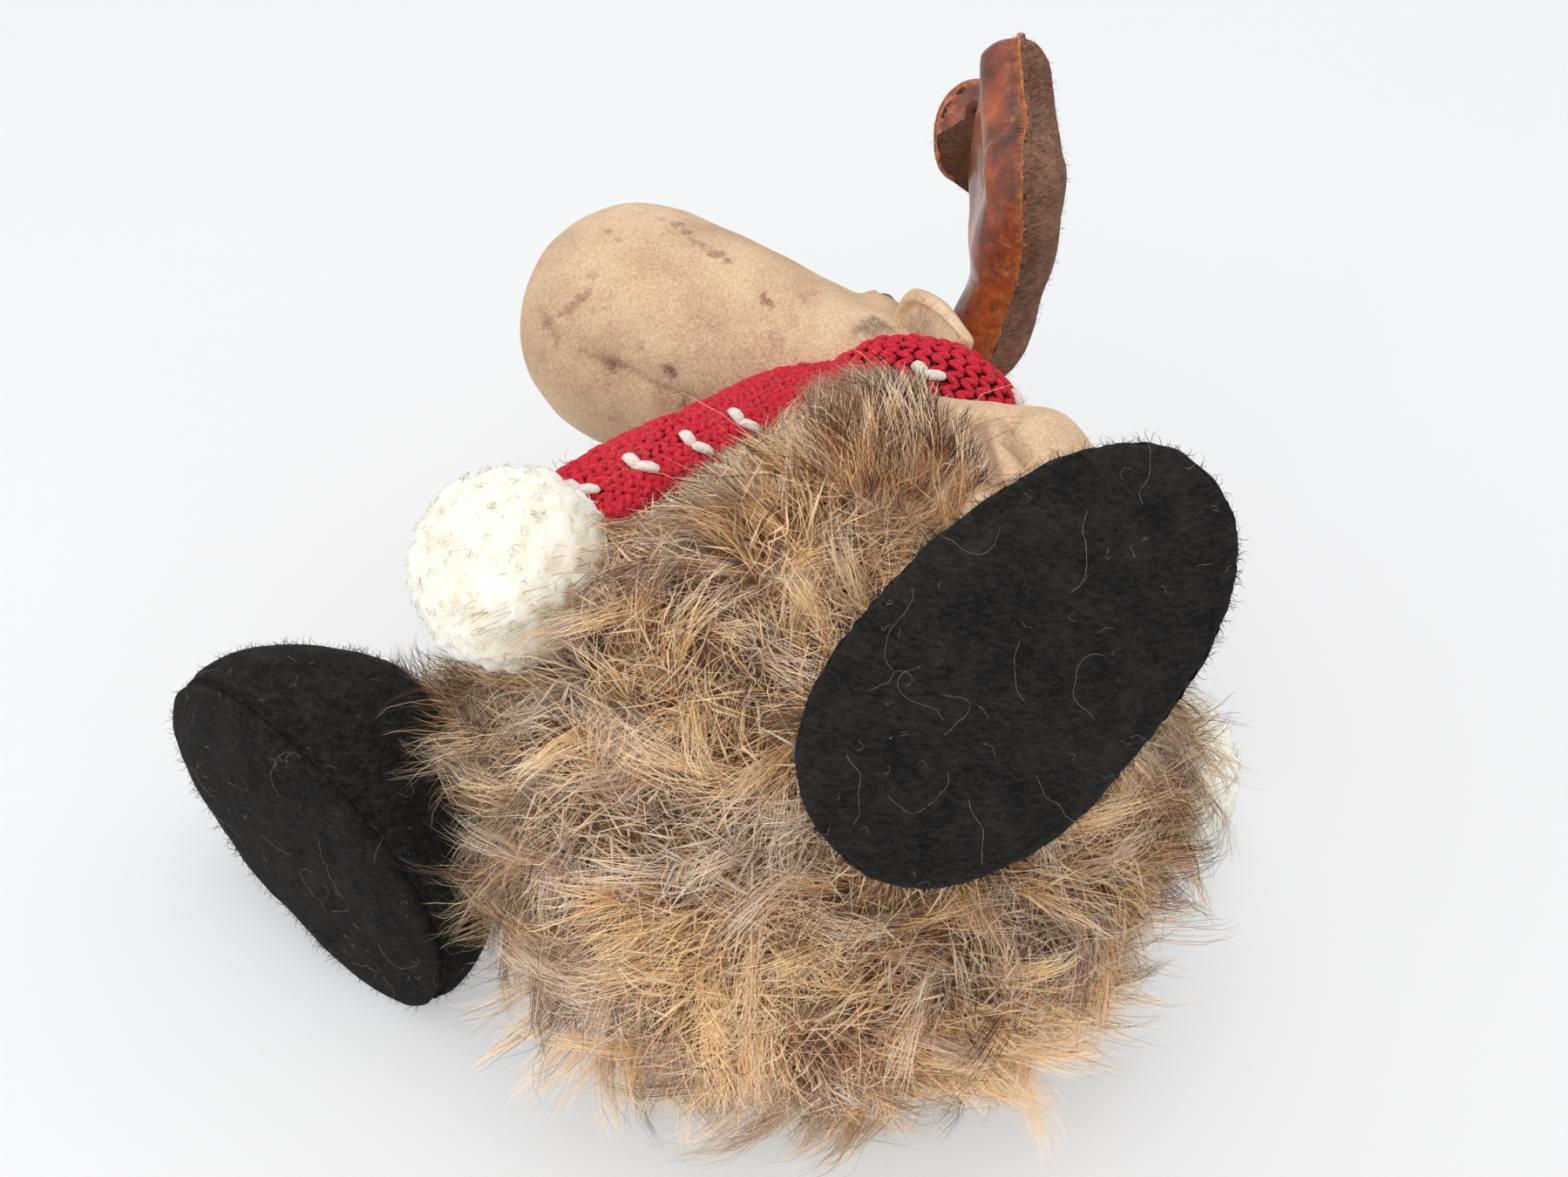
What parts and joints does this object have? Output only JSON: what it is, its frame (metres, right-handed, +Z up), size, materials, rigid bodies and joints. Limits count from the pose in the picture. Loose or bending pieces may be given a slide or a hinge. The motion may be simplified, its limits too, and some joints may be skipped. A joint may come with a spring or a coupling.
{
  "type": "plush moose figurine",
  "caption": "Plush moose lying on its side: round shaggy body, velvet muzzle, padded antlers, felt boots and a knitted scarf with pompoms.",
  "frame": {"origin": "centre of the bounding box's base, on the table the moose lies on", "axes": "+X to the right of the picture, +Y from the boots to the crown of the head, away from the viewer, +Z up from the table; the moose lies on its right side with its muzzle to -X"},
  "size_m": [0.277, 0.3152, 0.2025],
  "materials": {
    "fur": "long shaggy pile, tan and golden with dark brown tips",
    "batting": "loose white polyester batting",
    "pellets": "small loose pellets in a cloth bag",
    "tan_velvet": "short-pile velvet with reddish brown rubbed patches",
    "bead": "polished black",
    "leather": "wrinkled imitation leather, mottled chestnut, half gloss",
    "brown_felt": "fuzzy dark brown felt",
    "red_knit": "chunky red knit with white stitches",
    "white_wool": "curly off-white boucle yarn",
    "black_felt": "black wool felt with pale lint"
  },
  "bodies": {
    "toy": {"antler_left_felt": "brown_felt", "antler_left_filling": "batting", "antler_left_leather": "leather", "antler_right_felt": "brown_felt", "antler_right_filling": "batting", "antler_right_leather": "leather", "body_fur": "fur", "body_stuffing": "batting", "ear_left": "tan_velvet", "ear_right": "tan_velvet", "eye_left": "bead", "eye_right": "bead", "head_cover": "tan_velvet", "head_stuffing": "batting", "pellet_bag": "pellets", "scarf_wrap": "red_knit"},
    "thigh_left": {"thigh_left": "tan_velvet"},
    "lower_leg_left": {"shin_left": "tan_velvet", "boot_left_upper": "black_felt", "boot_left_sole": "black_felt", "boot_left_stuffing": "batting"},
    "thigh_right": {"thigh_right": "tan_velvet"},
    "lower_leg_right": {"shin_right": "tan_velvet", "boot_right_upper": "black_felt", "boot_right_sole": "black_felt", "boot_right_stuffing": "batting"},
    "front_tail": {"scarf_tail_front": "red_knit", "pompom_front": "white_wool"},
    "back_tail": {"scarf_tail_back": "red_knit", "pompom_back": "white_wool"}
  },
  "joints": [
    {"name": "hip_left", "type": "hinge", "parent": "toy", "child": "thigh_left", "pos_m": [0.02726, -0.00757, 0.14996], "axis": [-0.5641, -0.2788, 0.7773], "range_deg": [0, 45]},
    {"name": "knee_left", "type": "hinge", "parent": "thigh_left", "child": "lower_leg_left", "pos_m": [0.08309, -0.05416, 0.17376], "axis": [-0.5641, -0.2788, 0.7773], "range_deg": [0, 60]},
    {"name": "hip_right", "type": "hinge", "parent": "toy", "child": "thigh_right", "pos_m": [-0.01707, -0.00368, 0.03725], "axis": [0, 0, -1], "range_deg": [0, 30]},
    {"name": "knee_right", "type": "hinge", "parent": "thigh_right", "child": "lower_leg_right", "pos_m": [-0.03602, 0.02349, 0.0373], "axis": [0, 0, -1], "range_deg": [0, 45]},
    {"name": "scarf_front_swing", "type": "hinge", "parent": "toy", "child": "front_tail", "pos_m": [0.02905, 0.06626, 0.11472], "axis": [-0.571, 0.2495, -0.7821], "range_deg": [0, 70]},
    {"name": "scarf_back_swing", "type": "hinge", "parent": "toy", "child": "back_tail", "pos_m": [0.08593, 0.06298, 0.08789], "axis": [-0.2859, -0.7888, 0.5442], "range_deg": [0, 70]}
  ]
}
